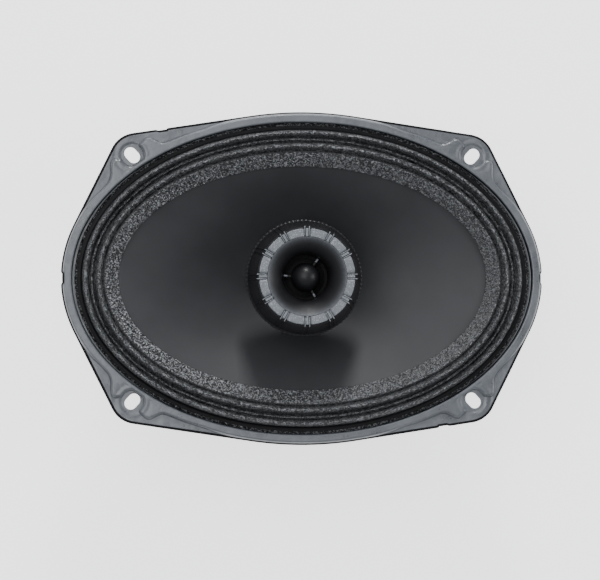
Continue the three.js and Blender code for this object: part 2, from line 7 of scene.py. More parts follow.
import bmesh
import bpy
import numpy as np
from mathutils import Matrix, Vector
from mathutils.geometry import convex_hull_2d


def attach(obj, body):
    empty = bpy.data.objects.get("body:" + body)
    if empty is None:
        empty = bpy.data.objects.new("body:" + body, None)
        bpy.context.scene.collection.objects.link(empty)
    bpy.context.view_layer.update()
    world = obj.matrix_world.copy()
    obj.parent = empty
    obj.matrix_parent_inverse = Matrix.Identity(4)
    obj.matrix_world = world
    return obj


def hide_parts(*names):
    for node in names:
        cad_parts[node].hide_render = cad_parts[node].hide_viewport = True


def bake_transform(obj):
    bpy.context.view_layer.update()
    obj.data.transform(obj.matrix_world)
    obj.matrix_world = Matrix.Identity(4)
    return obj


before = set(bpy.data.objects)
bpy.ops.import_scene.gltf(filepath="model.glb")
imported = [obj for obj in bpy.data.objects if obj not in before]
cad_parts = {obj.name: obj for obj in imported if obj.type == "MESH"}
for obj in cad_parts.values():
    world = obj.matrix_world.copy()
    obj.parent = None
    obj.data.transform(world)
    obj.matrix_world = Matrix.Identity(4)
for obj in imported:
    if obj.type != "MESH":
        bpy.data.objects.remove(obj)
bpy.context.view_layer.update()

MM = 0.001
TAU = 2 * math.pi
norm = np.linalg.norm

# ---- dimensions shared with the CAD model ----

LONG_EXTRA = 37.1          # a ring of half-width r has the half-length r + LONG_EXTRA
CONE_EXTRA = 35.8          # the same for the cone and its surround
RIM_R = 82.5               # half-width of the flange's oval
LIP_R = 77.8               # of the lip's inner wall
PLATE_START = 79.0         # of the start of the flat plate
EAR_X, EAR_Y, EAR_R = 82.5, 58.5, 13.2
SLOT_X, SLOT_Y, SLOT_LENGTH, SLOT_WIDTH = 84.5, 60.7, 8.5, 6.1
SLOT_TILT = math.radians(47)
SHEET = 1.2
MOUNT_Z, FLANGE_Z = 76.0, 79.0
GASKET_Z = 74.9
SHELF_INNER, SHELF_OUTER, SHELF_Z = 48.5, 57.0, 40.6
BOWL_R, BOWL_Z = 72.6, 66.0
SEAT_Z = 28.6
CONE_NECK, CONE_NECK_Z, CONE_EDGE, CONE_EDGE_Z = 16.6, 48.2, 62.6, 79.5
OVAL_FULL = 54.0
BOARD_FRONT, BOARD_BACK = -63.9, -61.9
QUADRANTS = [(1, 1), (-1, 1), (-1, -1), (1, -1)]

# ---- materials ----


class Look:
    """A procedural material; its textures read the object's own place, in millimetres."""

    def __init__(self, name, color, roughness, metallic=0.0, stretch=(1, 1, 1), specular=0.5, **sockets):
        self.material = bpy.data.materials.new(name)
        self.material.use_nodes = True
        self.tree = self.material.node_tree
        self.shader = self.tree.nodes["Principled BSDF"]
        self.set("Base Color", (*color, 1.0))
        self.set("Roughness", roughness)
        self.set("Metallic", metallic)
        self.set("Specular IOR Level", specular)
        for socket, value in sockets.items():
            self.set(socket.replace("_", " "), value)
        place = self.add("ShaderNodeTexCoord").outputs["Object"]
        scale = [s / MM for s in stretch]
        self.place = self.add("ShaderNodeMapping", Vector=place, Scale=scale).outputs[0]

    def put(self, value, socket):
        if isinstance(value, bpy.types.NodeSocket):
            self.tree.links.new(value, socket)
        else:
            socket.default_value = value

    def set(self, socket, value):
        self.put(value, self.shader.inputs[socket])

    def add(self, kind, settings=None, **inputs):
        """A new node; inputs are given by name, or as i0, i1 and so on by place."""
        node = self.tree.nodes.new(kind)
        for key, value in (settings or {}).items():
            setattr(node, key, value)
        for key, value in inputs.items():
            self.put(value, node.inputs[int(key[1:]) if key[1:].isdigit() else key])
        return node

    def noise(self, scale, detail=2.0, roughness=0.5):
        return self.add("ShaderNodeTexNoise", Vector=self.place, Scale=scale, Detail=detail,
                        Roughness=roughness).outputs["Fac"]

    def cells(self, scale):
        """Cells of that many to a millimetre, and three random numbers for each cell."""
        cell = self.add("ShaderNodeTexVoronoi", Vector=self.place, Scale=scale).outputs
        return cell, self.add("ShaderNodeSeparateColor", Color=cell["Color"]).outputs

    def vector(self, operation, a, b, output="Vector"):
        return self.add("ShaderNodeVectorMath", {"operation": operation}, i0=a, i1=b).outputs[output]

    def facets(self, scale):
        """Height of small flat flakes, each tilted its own way, and each flake's random numbers."""
        cell, random = self.cells(scale)
        centre = self.vector("DIVIDE", cell["Position"], (scale,) * 3)
        local = self.vector("SUBTRACT", self.place, centre)
        tilt = self.vector("SUBTRACT", cell["Color"], (0.5,) * 3)
        return self.vector("DOT_PRODUCT", local, tilt, "Value"), random

    def span(self, value, low, high, start=0.0, end=1.0):
        """Maps the range start..end of a value to low..high, held at both ends."""
        return self.add("ShaderNodeMapRange", i0=value, i1=start, i2=end, i3=low, i4=high).outputs[0]

    def vary(self, noise, low, high):
        """Maps the usual range of a noise to low..high."""
        return self.span(noise, low, high, 0.3, 0.7)

    def math(self, operation, a, b=0.0):
        return self.add("ShaderNodeMath", {"operation": operation}, i0=a, i1=b).outputs[0]

    def mix(self, share, a, b):
        a, b = [c if isinstance(c, bpy.types.NodeSocket) else (*c, 1.0) for c in (a, b)]
        return self.add("ShaderNodeMix", {"data_type": "RGBA"}, i0=share, i6=a, i7=b).outputs[2]

    def paint(self, share, a, b):
        self.set("Base Color", self.mix(share, a, b))

    def split(self):
        return self.add("ShaderNodeSeparateXYZ", Vector=self.place).outputs

    def bump(self, height, depth, before=None):
        """Raises the surface by height times depth millimetres."""
        under = {} if before is None else {"Normal": before}
        normal = self.add("ShaderNodeBump", Height=height, Distance=depth * MM, Strength=1.0,
                          **under).outputs[0]
        self.set("Normal", normal)
        return normal


def painted_steel():
    """Charcoal satin powder coat, slightly uneven."""
    look = Look("painted_steel", (0.08, 0.088, 0.1), 0.36, specular=1.0)
    patches = look.noise(0.06, 3)
    dust = look.noise(0.9, 4, 0.7)
    tone = look.mix(look.vary(patches, 0, 1), (0.052, 0.058, 0.068), (0.09, 0.1, 0.115))
    look.paint(look.span(dust, 0, 0.3, 0.52, 0.8), tone, (0.19, 0.2, 0.215))
    blotches = look.span(look.noise(0.35, 3, 0.65), -0.05, 0.07, 0.35, 0.65)
    sheen = look.math("ADD", look.vary(dust, -0.05, 0.08), blotches)
    look.set("Roughness", look.math("ADD", sheen, look.vary(patches, 0.28, 0.42)))
    waves = look.bump(look.noise(0.2, 2), 0.26)
    waves = look.bump(look.noise(0.6, 2), 0.05, waves)
    peel = look.bump(look.noise(1.6, 2), 0.014, waves)
    look.bump(look.noise(7.0, 2), 0.004, peel)
    return look.material


def painted_edge_shade():
    """Near-black dull coat on the turned-down edge and on the wall under the lip: painted shade."""
    look = Look("painted_edge_shade", (0.004, 0.004, 0.005), 0.8, specular=0.12)
    look.paint(look.noise(0.8, 3), (0.003, 0.003, 0.004), (0.008, 0.008, 0.009))
    look.bump(look.noise(2.0, 3), 0.01)
    return look.material


def plated_steel():
    look = Look("plated_steel", (0.45, 0.45, 0.44), 0.32, 1.0)
    x, y, _ = look.split()
    radius = look.math("SQRT", look.math("ADD", look.math("MULTIPLY", x, x), look.math("MULTIPLY", y, y)))
    rings = look.add("ShaderNodeTexNoise", {"noise_dimensions": "1D"}, W=radius, Scale=3.2, Detail=3.0)
    bloom = look.noise(0.12, 4, 0.6)
    look.paint(look.span(bloom, 0, 1, 0.35, 0.7), (0.5, 0.49, 0.44), (0.4, 0.42, 0.46))
    look.set("Roughness", look.vary(bloom, 0.24, 0.42))
    look.bump(rings.outputs["Fac"], 0.006)
    return look.material


def ferrite():
    look = Look("ferrite", (0.035, 0.035, 0.038), 0.72)
    grain = look.noise(1.1, 5, 0.75)
    look.paint(grain, (0.022, 0.022, 0.025), (0.06, 0.06, 0.064))
    look.set("Roughness", look.vary(grain, 0.55, 0.85))
    look.bump(look.noise(2.2, 4, 0.7), 0.05)
    return look.material


BLACK_PLASTIC = (0.006, 0.006, 0.007)


def plastic(name, color, roughness, grain, **sockets):
    look = Look(name, color, roughness, **sockets)
    cloud = look.noise(0.15, 3)
    look.paint(cloud, color, [c * 1.25 for c in color])
    look.set("Roughness", look.vary(cloud, roughness - 0.05, roughness + 0.07))
    look.bump(look.noise(4.5, 3, 0.6), grain)
    return look


def sparkle_plastic():
    look = plastic("sparkle_plastic", (0.145, 0.156, 0.174), 0.46, 0.006)
    _, random = look.cells(3.2)
    flake = look.span(random[0], 0, 1, 0.86, 0.93)
    dull = look.mix(look.noise(1.2, 3), (0.11, 0.119, 0.134), (0.175, 0.189, 0.209))
    look.paint(flake, dull, (0.32, 0.34, 0.36))
    look.set("Metallic", look.math("MULTIPLY", flake, 0.6))
    return look.material


def horn_plastic():
    """Black plastic, grey at the mouth and fading to black deeper in: the dark down the horn is painted
    shade.
    """
    look = plastic("horn_plastic", BLACK_PLASTIC, 0.45, 0.004, specular=0.35)
    _, _, z = look.split()
    # Grey towards the top of the horn, black below: painted shade deeper in the horn.
    shade_fade_from, shade_fade_full = 95.5, 99.9
    painted_shade_fade = look.math("POWER", look.span(z, 0, 1, shade_fade_from, shade_fade_full), 4.0)
    mottled_shade_fade = look.math("MULTIPLY", painted_shade_fade, look.vary(look.noise(0.8, 4, 0.7), 0.7, 1.1))
    look.paint(mottled_shade_fade, BLACK_PLASTIC, (0.106, 0.114, 0.128))
    return look.material


def cone_skin():
    look = Look("cone_skin", (0.016, 0.0165, 0.019), 0.5, specular=0.55)
    pulp = look.noise(0.05, 3)
    fine = look.noise(3.0, 4, 0.7)
    tone = look.mix(look.span(pulp, 0, 1, 0.35, 0.65), (0.0135, 0.014, 0.0165), (0.0185, 0.019, 0.022))
    look.paint(look.span(fine, 0, 0.3, 0.45, 0.8), tone, (0.031, 0.032, 0.036))
    look.set("Roughness", look.vary(fine, 0.5, 0.66))
    look.bump(fine, 0.008)
    return look.material


def weave(look, pitch):
    """Height of a plain weave with that thread pitch, seen along Z."""
    x, y, _ = look.split()
    across = look.math("SINE", look.math("MULTIPLY", x, math.pi / pitch))
    along = look.math("SINE", look.math("MULTIPLY", y, math.pi / pitch))
    return look.math("ABSOLUTE", look.math("MULTIPLY", across, along))


def black_cloth():
    """Woven cotton under a damping coat that glitters."""
    look = Look("black_cloth", (0.012, 0.012, 0.013), 0.45, specular=0.6)
    thread = weave(look, 0.62)
    tilted, random = look.facets(2.0)
    speck = look.span(random[0], 0, 1, 0.45, 0.95)
    clump = look.noise(1.4, 4, 0.7)
    tone = look.mix(clump, (0.006, 0.006, 0.007), (0.019, 0.0195, 0.0215))
    look.paint(speck, tone, (0.24, 0.248, 0.26))
    look.set("Metallic", look.math("MULTIPLY", speck, 0.5))
    look.set("Roughness", look.span(random[1], 0.3, 0.52))
    coat = look.bump(thread, 0.06)
    look.bump(tilted, 0.95, coat)
    return look.material


def glue():
    """Black rubber adhesive, dull where it has skinned over; on the surround's foot it is also painted shade.
    """
    look = Look("glue", (0.005, 0.005, 0.006), 0.6, specular=0.2)
    look.paint(look.noise(0.5, 3), (0.003, 0.003, 0.004), (0.009, 0.009, 0.01))
    look.bump(look.noise(0.9, 3), 0.06)
    return look.material


def coated_glue():
    """Black adhesive with a little of the cloth's glittering coat on it."""
    look = Look("coated_glue", (0.006, 0.006, 0.007), 0.5, specular=0.4)
    tilted, random = look.facets(2.0)
    speck = look.span(random[0], 0, 1, 0.58, 0.95)
    look.paint(speck, (0.005, 0.005, 0.006), (0.22, 0.228, 0.24))
    look.set("Metallic", look.math("MULTIPLY", speck, 0.5))
    look.bump(tilted, 0.6)
    return look.material


def silk():
    look = Look("silk", (0.006, 0.006, 0.007), 0.7, specular=0.2)
    thread = weave(look, 0.22)
    look.paint(thread, (0.003, 0.003, 0.004), (0.009, 0.009, 0.01))
    look.bump(thread, 0.02)
    return look.material


def amber_cloth():
    look = Look("amber_cloth", (0.3, 0.17, 0.06), 0.75, Sheen_Weight=0.3)
    thread = weave(look, 0.6)
    soak = look.noise(0.08, 3)
    tone = look.mix(look.span(soak, 0, 1, 0.35, 0.65), (0.3, 0.18, 0.07), (0.42, 0.27, 0.12))
    look.paint(thread, (0.14, 0.075, 0.025), tone)
    look.bump(thread, 0.12)
    return look.material


def braid(name, color, metallic):
    look = Look(name, color, 0.45, metallic)
    strand = look.noise(6.0, 2)
    look.paint(strand, [c * 0.45 for c in color], color)
    look.bump(strand, 0.05)
    return look.material


def metal(name, color, roughness, scratch):
    look = Look(name, color, roughness, 1.0, stretch=(1, 0.12, 0.12))
    lines = look.noise(6.0, 3)
    look.paint(lines, [c * 0.8 for c in color], color)
    look.set("Roughness", look.vary(lines, roughness - 0.07, roughness + 0.1))
    look.bump(lines, scratch)
    return look.material


def copper_winding():
    look = Look("copper_winding", (0.5, 0.18, 0.08), 0.28, 1.0)
    _, _, z = look.split()
    turns = look.math("ABSOLUTE", look.math("SINE", look.math("MULTIPLY", z, math.pi / 0.3)))
    look.paint(turns, (0.2, 0.05, 0.02), (0.62, 0.24, 0.1))
    look.bump(turns, 0.08)
    return look.material


def fibre_board():
    look = Look("fibre_board", (0.1, 0.055, 0.03), 0.7, stretch=(0.25, 1, 1))
    fibre = look.noise(2.4, 5, 0.7)
    look.paint(fibre, (0.06, 0.03, 0.016), (0.17, 0.1, 0.055))
    look.bump(fibre, 0.03)
    return look.material


# Each look under its slot's name. Blender adds a number to a name that the CAD model's materials use.
LOOKS = {look.name.split(".")[0]: look for look in (
    painted_steel(), painted_edge_shade(), plated_steel(), ferrite(), horn_plastic(), cone_skin(), black_cloth(),
    glue(), coated_glue(), amber_cloth(),
    plastic("dark_plastic", BLACK_PLASTIC, 0.5, 0.014, specular=0.3).material,
    plastic("rim_plastic", BLACK_PLASTIC, 0.42, 0.002, specular=0.5).material,
    plastic("gloss_black", (0.005, 0.005, 0.006), 0.6, 0.002, specular=0.08, Coat_Weight=0.5,
            Coat_Roughness=0.38).material,
    plastic("red_sleeve", (0.3, 0.015, 0.012), 0.42, 0.006).material,
    plastic("black_sleeve", (0.012, 0.012, 0.014), 0.42, 0.006).material,
    plastic("capacitor_sleeve", (0.02, 0.032, 0.07), 0.3, 0.004, Coat_Weight=0.3).material,
    plastic("kapton", (0.36, 0.13, 0.02), 0.3, 0.003).material,
    metal("neodymium", (0.6, 0.6, 0.62), 0.2, 0.004),
    metal("brass", (0.72, 0.55, 0.26), 0.26, 0.006),
    braid("tinsel_braid", (0.6, 0.36, 0.2), 0.7),
)}
LOOKS |= {"ring_plastic": sparkle_plastic(), "board_fibre": fibre_board(), "copper": copper_winding(),
          "dome_film": silk()}

# ---- mesh helpers ----


def add_object(name, data):
    obj = bpy.data.objects.new(name, data)
    bpy.context.scene.collection.objects.link(obj)
    return obj


def mesh_object(name, verts, faces):
    """An object from points in millimetres."""
    mesh = bpy.data.meshes.new(name)
    mesh.from_pydata((np.asarray(verts, float) * MM).tolist(), [], [tuple(f) for f in faces])
    return add_object(name, mesh)


def piece(name, verts, faces, slot, body="frame", node=None, blended=False):
    """A smooth-shaded piece on its body, in place of its CAD node."""
    obj = mesh_object(name, verts, faces)
    obj.data.materials.append(LOOKS[slot])
    obj.data.shade_smooth()
    if node:
        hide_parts(node)
    if not blended:
        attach(obj, body)
    return obj


def repaint(obj, slot, where):
    """Gives a second look to the faces whose centre, in millimetres, and normal pass a test."""
    obj.data.materials.append(LOOKS[slot])
    for face in obj.data.polygons:
        face.material_index = where(face.center / MM, face.normal)


def grid_faces(rows, columns, close_rows=False):
    """Quads of a grid that closes on itself along its columns."""
    i = np.arange(rows if close_rows else rows - 1)[:, None]
    j = np.arange(columns)[None, :]
    a = i * columns + j
    b = i * columns + (j + 1) % columns
    c = (i + 1) % rows * columns + (j + 1) % columns
    d = (i + 1) % rows * columns + j
    return np.stack([a, b, c, d], -1).reshape(-1, 4)


def fillet(points, radius=0.4, closed=True, steps=4, support=0.15):
    """Rounds the corners of a line of [r, z] points; a third number is a corner's own radius."""
    nearly_straight, most_of_side = 3.05, 0.42
    line = [np.array(p[:2], float) for p in points]
    out = []
    for i, p in enumerate(line):
        own = points[i][2] if len(points[i]) > 2 else radius
        if own == 0 or not closed and i in (0, len(line) - 1):
            out.append(p)
            continue
        a, b = line[i - 1] - p, line[(i + 1) % len(line)] - p
        length_a, length_b = norm(a), norm(b)
        a, b = a / length_a, b / length_b
        angle = math.acos(float(np.clip(a @ b, -1, 1)))
        if angle > nearly_straight:
            out.append(p)
            continue
        room = most_of_side * min(length_a, length_b)
        reach = min(own / math.tan(angle / 2), room)
        r = reach * math.tan(angle / 2)
        centre = p + (a + b) / norm(a + b) * r / math.sin(angle / 2)
        start, end = p + a * reach, p + b * reach
        u, v, sweep = start - centre, end - centre, math.pi - angle
        extra = min(support, room * 0.15)
        out.append(start + a * extra)
        for k in range(steps + 1):
            t = k / steps
            out.append(centre + (math.sin((1 - t) * sweep) * u + math.sin(t * sweep) * v) / math.sin(sweep))
        out.append(end + b * extra)
    return np.array(out)


def resample(line, step, closed=False):
    """Adds points so that no stretch is longer than step."""
    ends = np.vstack([line, line[:1]]) if closed else line
    out = []
    for a, b in zip(ends[:-1], ends[1:]):
        count = max(1, math.ceil(norm(b - a) / step))
        out += [a + (b - a) * k / count for k in range(count)]
    return np.array(out if closed else out + [ends[-1]])


def oval(r, turn, z, start, full, extra=LONG_EXTRA):
    share = np.clip((r - start) / (full - start), 0, 1)
    return np.stack([(r + extra * share) * np.cos(turn), r * np.sin(turn), z + 0 * turn], -1)


def round_shape(r, turn, z):
    return oval(r, turn, z, 1e6, 2e6)


def cone_shape(r, turn, z):
    return oval(r, turn, z, CONE_NECK, OVAL_FULL, CONE_EXTRA)


def turned(name, line, slot, body="frame", node=None, segments=96, closed=True, shape=round_shape,
           turns=None, blended=False, at=(0, 0, 0), axis="z"):
    """Turns a line of [r, z] points about an axis; the points run anticlockwise."""
    turn = np.arange(segments) * TAU / segments if turns is None else turns
    grid = shape(line[:, :1] + 0 * turn, turn[None, :] + 0 * line[:, :1], line[:, 1:] + 0 * turn)
    points = grid.reshape(-1, 3)
    if axis == "x":
        points = points[:, [2, 0, 1]]
    if axis == "y":
        points = points[:, [0, 2, 1]] * (1, 1, -1)
    obj = piece(name, points + np.array(at), grid_faces(len(line), len(turn), closed), slot, body, node,
                blended)
    if not closed:
        weld(obj)
    return obj


def weld(obj):
    mesh = bmesh.new()
    mesh.from_mesh(obj.data)
    bmesh.ops.remove_doubles(mesh, verts=mesh.verts, dist=1e-7)
    bmesh.ops.dissolve_degenerate(mesh, edges=mesh.edges, dist=1e-8)
    mesh.to_mesh(obj.data)
    mesh.free()


def prism(name, outline, low, high, slot, node=None, axis="z", bevel=0.25):
    """Extrudes an outline between two levels of an axis, with rounded edges."""
    count = len(outline)
    verts = [{"z": (u, v, level), "x": (level, u, v), "y": (u, level, v)}[axis]
             for level in (low, high) for u, v in outline]
    faces = [list(range(count))[::-1], list(range(count, 2 * count))]
    faces += [[i, (i + 1) % count, count + (i + 1) % count, count + i] for i in range(count)]
    obj = piece(name, verts, faces, slot, node=node)
    mesh = bmesh.new()
    mesh.from_mesh(obj.data)
    bmesh.ops.recalc_face_normals(mesh, faces=mesh.faces)
    edges = [e for e in mesh.edges if e.calc_face_angle(0) > math.radians(25)]
    bmesh.ops.bevel(mesh, geom=edges, offset=bevel * MM, segments=3, profile=0.5, affect="EDGES")
    mesh.to_mesh(obj.data)
    mesh.free()
    obj.data.shade_smooth()
    obj.modifiers.new("even_shading", "WEIGHTED_NORMAL").keep_sharp = True
    return obj


def smooth_path(points, per_span=8):
    """A Catmull-Rom curve through points."""
    p = np.array(points, float)
    p = np.vstack([2 * p[0] - p[1], p, 2 * p[-1] - p[-2]])
    out = []
    for i in range(1, len(p) - 2):
        for k in range(per_span):
            t = k / per_span
            out.append(0.5 * (2 * p[i] + (p[i + 1] - p[i - 1]) * t
                              + (2 * p[i - 1] - 5 * p[i] + 4 * p[i + 1] - p[i + 2]) * t * t
                              + (3 * p[i] - p[i - 1] - 3 * p[i + 1] + p[i + 2]) * t ** 3))
    return np.array(out + [p[-2]])


def frames_along(path):
    """Two steady cross directions along a path."""
    tangent = np.gradient(path, axis=0)
    tangent /= norm(tangent, axis=1)[:, None]
    side = np.cross(tangent[0], [0.3, 0.5, 0.8])
    sides = []
    for t in tangent:
        side = side - (side @ t) * t
        side /= norm(side)
        sides.append(side)
    sides = np.array(sides)
    return sides, np.cross(tangent, sides)


def wire(path, r, sides=12):
    """Points and faces of a round wire with closed ends."""
    u, v = frames_along(path)
    turn = np.arange(sides) * TAU / sides
    ring = np.cos(turn)[None, :, None] * u[:, None] + np.sin(turn)[None, :, None] * v[:, None]
    verts = (path[:, None] + r * ring).reshape(-1, 3)
    faces = grid_faces(len(path), sides).tolist()
    faces.append(list(range(sides))[::-1])
    faces.append([(len(path) - 1) * sides + j for j in range(sides)])
    return verts, faces


def strands(path, r, count, pitch):
    """Points and faces of a rope of twisted strands that fills a tube of radius r."""
    u, v = frames_along(path)
    run = np.concatenate([[0], np.cumsum(norm(np.diff(path, axis=0), axis=1))])
    thin = r * 0.46
    verts, faces = [], []
    for k in range(count):
        turn = run * TAU / pitch + k * TAU / count
        centre = path + (r - thin) * (np.cos(turn)[:, None] * u + np.sin(turn)[:, None] * v)
        more, links = wire(centre, thin, 8)
        faces += [[i + len(verts) for i in f] for f in links]
        verts += more.tolist()
    return verts, faces


# ---- camera, floor and lights ----

VIEW_WIDTH = 296.4          # millimetres across the picture at the flange's level
VIEW_DISTANCE = 1400.0
VIEW_LEAN_X, VIEW_LEAN_Y = math.radians(4.9), math.radians(2.0)
AIM = Vector((-1.8, -5.9, FLANGE_Z))
SENSOR = 36.0
LAMP_AIM = Vector((0, 0, 0.07))
FLOOR_HALF, FLOOR_Z = 6000.0, -0.2
FLOOR_GLOW = 1.5
SKY_COLOR, SKY_STRENGTH = (0.93, 0.96, 1.0, 1.0), 0.62


def aimed(place, right, up, back):
    """Placement of a camera or lamp, which looks against its third direction."""
    return Matrix.Translation(place) @ Matrix((right, up, back)).transposed().to_4x4()


camera = add_object("camera", bpy.data.cameras.new("camera"))
camera.data.sensor_width = SENSOR
camera.data.lens = SENSOR * VIEW_DISTANCE / VIEW_WIDTH
camera.data.clip_start, camera.data.clip_end = 0.05, 20.0
back = Vector((-math.tan(VIEW_LEAN_X), -math.tan(VIEW_LEAN_Y), 1.0)).normalized()
right = (Vector((1, 0, 0)) - back.x * back).normalized()
camera.matrix_world = aimed((AIM + back * VIEW_DISTANCE) * MM, right, back.cross(right), back)
bpy.context.scene.camera = camera


def lamp(name, place, size, power):
    """A soft rectangular lamp that faces the speaker; places and sizes are in metres, power in watts."""
    light = bpy.data.lights.new(name, "AREA")
    light.shape = "RECTANGLE"
    light.size, light.size_y = size
    light.energy = power
    away = (Vector(place) - LAMP_AIM).normalized()
    side = Vector((0, 1, 0)).cross(away).normalized()
    add_object(name, light).matrix_world = aimed(place, side, away.cross(side), away)


world = bpy.data.worlds.new("studio")
bpy.context.scene.world = world
world.use_nodes = True
sky = world.node_tree.nodes["Background"].inputs
sky["Color"].default_value, sky["Strength"].default_value = SKY_COLOR, SKY_STRENGTH

lamp("key", (0.06, 1.75, 0.89), (0.36, 0.36), 23)
lamp("softbox", (-0.55, 0.35, 1.75), (1.3, 1.5), 17)
lamp("right_card", (1.6, 0.1, 0.9), (0.6, 0.8), 9)

corners = [(sx * FLOOR_HALF, sy * FLOOR_HALF, FLOOR_Z) for sx, sy in QUADRANTS]
floor = mesh_object("floor", corners, [(0, 1, 2, 3)])
paper = Look("paper", (0.93, 0.93, 0.93), 0.9)
paper.paint(paper.noise(0.02, 2), (0.92, 0.92, 0.92), (0.94, 0.94, 0.94))
paper.set("Emission Color", (1.0, 1.0, 1.0, 1.0))
paper.set("Emission Strength", FLOOR_GLOW)
floor.data.materials.append(paper.material)

# ---- basket ----

EAR_TURN = math.radians(45.7)
EAR_SPREAD = math.radians(15)


def basket_turns(count):
    """Angles round the basket, closer together at the four ears."""
    even = np.linspace(0, TAU, 20001)
    fold = np.abs((even % math.pi) - np.pi / 2)          # 0 on the short axis
    near = np.abs(fold - (math.pi / 2 - EAR_TURN))
    density = 1 + 1.6 / (1 + np.exp((near - EAR_SPREAD) / 0.02))
    run = np.concatenate([[0], np.cumsum((density[1:] + density[:-1]) / 2)])
    return np.interp(np.arange(count) / count * run[-1], run, even)


def outline_radius(turn):
    """Half-width r of the flange's outline at an angle: the oval and four ears under one band."""
    points = []
    for k in np.arange(2400) * TAU / 2400:
        c, s = math.cos(k), math.sin(k)
        points.append(((RIM_R + LONG_EXTRA) * c, RIM_R * s))
        points += [(sx * EAR_X + EAR_R * c, sy * EAR_Y + EAR_R * s) for sx, sy in QUADRANTS]
    start = np.array([points[i] for i in convex_hull_2d([Vector(p) for p in points])])
    if np.cross(start[1] - start[0], start[2] - start[1]) < 0:
        start = start[::-1]
    run = np.roll(start, -1, 0) - start
    out = np.empty(len(turn))
    for i, t in enumerate(turn):
        ray = np.array([math.cos(t), math.sin(t)])
        origin = np.array([LONG_EXTRA * math.cos(t), 0.0])
        cross = ray[0] * run[:, 1] - ray[1] * run[:, 0]
        cross = np.where(np.abs(cross) < 1e-12, 1e-12, cross)
        offset = start - origin
        reach = (offset[:, 0] * run[:, 1] - offset[:, 1] * run[:, 0]) / cross
        share = (offset[:, 0] * ray[1] - offset[:, 1] * ray[0]) / cross
        ok = (share > -1e-6) & (share < 1 + 1e-6) & (reach > 0)
        out[i] = reach[ok].min()
    return out


NOTCH_HALF, NOTCH_DEPTH = 2.75, 0.65
NOTCHES = [(RIM_R + LONG_EXTRA, 0.0), (-RIM_R - LONG_EXTRA, 0.0), (-70.0, 73.0), (70.0, -72.9)]


def notched(radius, turn):
    """Takes the small locating notches out of the outline."""
    x, y = (radius + LONG_EXTRA) * np.cos(turn), radius * np.sin(turn)
    for nx, ny in NOTCHES:
        away = np.hypot(x - nx, y - ny)
        radius = radius - NOTCH_DEPTH / (1 + np.exp(np.clip((away - NOTCH_HALF) / 0.12, -30, 30)))
    return radius


def smooth(value, low, high):
    t = np.clip((value - low) / (high - low), 0, 1)
    return t * t * (3 - 2 * t)


# Edge of the raised plate in one quadrant: the oval's own rim, with a lobe on
# each side of the screw slot. The wings beyond it are pressed lower.
PLATE_R = 80.9
LOBES = [(50, 72.7), (56, 71.0), (60, 69.6), (63.5, 68.2), (67.9, 66.4), (70, 66.0), (73.5, 67.5),
         (75.6, 68.7), (77.4, 68.6), (79.4, 66.8), (82.5, 63.5), (86.5, 59.6), (90.8, 57.6), (92.6, 58.3),
         (94.1, 57.4), (94.5, 54.5), (94.2, 50.5), (95.4, 47.1), (98.4, 43.7), (103.8, 38.4)]
LOBES_FROM_X, LOBES_TO_X = 46, 107
WING_DROP, WING_RISE = 1.5, 0.3


def plate_edge():
    rim = [((PLATE_R + LONG_EXTRA) * math.cos(k), PLATE_R * math.sin(k))
           for k in np.arange(90, -0.1, -3) * math.pi / 180]
    before, after = [p for p in rim if p[0] < LOBES_FROM_X], [p for p in rim if p[0] > LOBES_TO_X]
    line = np.array(before + LOBES + after)
    for _ in range(2):                                   # rounds the corners
        a, b = line[:-1], line[1:]
        cut = np.stack([a * 0.75 + b * 0.25, a * 0.25 + b * 0.75], 1).reshape(-1, 2)
        line = np.vstack([line[:1], cut, line[-1:]])
    return line


def distance_to(line, points):
    """Distance of points to a polyline, below 0 on the origin's side."""
    a, run = line[:-1], np.diff(line, axis=0)
    offset = points[:, None] - a[None]
    t = np.clip((offset * run).sum(-1) / (run * run).sum(-1), 0, 1)
    away = norm(offset - t[..., None] * run, axis=-1).min(1)
    ring = np.vstack([[0, 0], line, [0, 0]])
    x, y = points[:, :1], points[:, 1:]
    x0, y0, x1, y1 = ring[:-1, 0], ring[:-1, 1], ring[1:, 0], ring[1:, 1]
    crosses = (y0 > y) != (y1 > y)
    with np.errstate(divide="ignore", invalid="ignore"):
        at = x0 + (y - y0) * (x1 - x0) / (y1 - y0)
    inside = (crosses & (x < at)).sum(1) % 2 == 1
    return np.where(inside, -away, away)


DIMPLE_FLOOR, DIMPLE_WALL = 5.5, 6.8
GROOVE_R, GROOVE_DEPTH = 8.6, 0.14


def flange_height(xy):
    """Level of the flange sheet's middle at a place, in millimetres."""
    folded = np.abs(xy)
    beyond = distance_to(plate_edge(), folded)
    z = FLANGE_Z - SHEET / 2 - WING_DROP * smooth(beyond, -0.4, 0.8)
    z = z + WING_RISE * smooth(beyond, 1.5, 8.0)
    away = np.hypot(folded[:, 0] - SLOT_X, folded[:, 1] - SLOT_Y)
    z = z - GROOVE_DEPTH * np.exp(-((away - GROOVE_R) / 1.1) ** 2)
    floor_z = MOUNT_Z + SHEET / 2
    return floor_z + (z - floor_z) * smooth(away, DIMPLE_FLOOR, DIMPLE_WALL)


WINDOW_HALF = math.radians(15.5)
WINDOW_LOW, WINDOW_HIGH, WINDOW_CORNER = 46.0, 62.0, 3.5
WALL_SLOPE = (BOWL_R - SHELF_OUTER) / (BOWL_Z - SHELF_Z)


